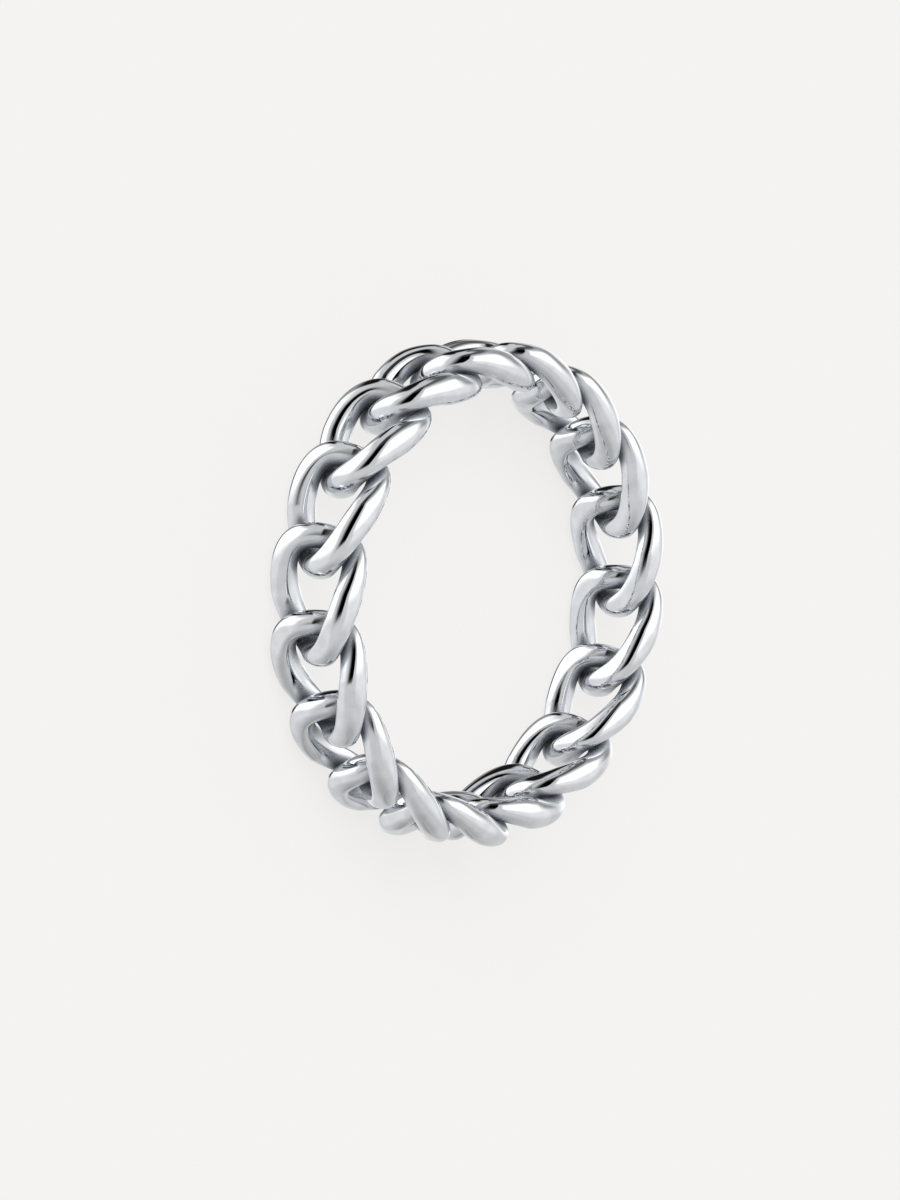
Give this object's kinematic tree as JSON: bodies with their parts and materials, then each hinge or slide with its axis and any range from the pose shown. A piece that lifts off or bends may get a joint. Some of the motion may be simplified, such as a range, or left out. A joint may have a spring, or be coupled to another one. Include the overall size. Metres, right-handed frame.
{
  "type": "interlocking chain-link finger ring",
  "caption": "Finger ring made of a closed row of twisted oval links that pass through one another, dressed level inside and out and polished, lying on its side.",
  "frame": {"origin": "on the finger axis, in the plane that the ring rests on when it lies on its side", "axes": "+Z along the finger axis, +X through the middle of link_01, links numbered counterclockwise from above"},
  "size_m": [0.0212, 0.0212, 0.0045],
  "materials": {
    "polished_silver": "mirror-polished silver"
  },
  "bodies": {
    "root": {"link_01": "polished_silver", "link_02": "polished_silver", "link_03": "polished_silver", "link_04": "polished_silver", "link_05": "polished_silver", "link_06": "polished_silver", "link_07": "polished_silver", "link_08": "polished_silver", "link_09": "polished_silver", "link_10": "polished_silver", "link_11": "polished_silver", "link_12": "polished_silver", "link_13": "polished_silver", "link_14": "polished_silver", "link_15": "polished_silver", "link_16": "polished_silver", "link_17": "polished_silver"}
  },
  "joints": []
}
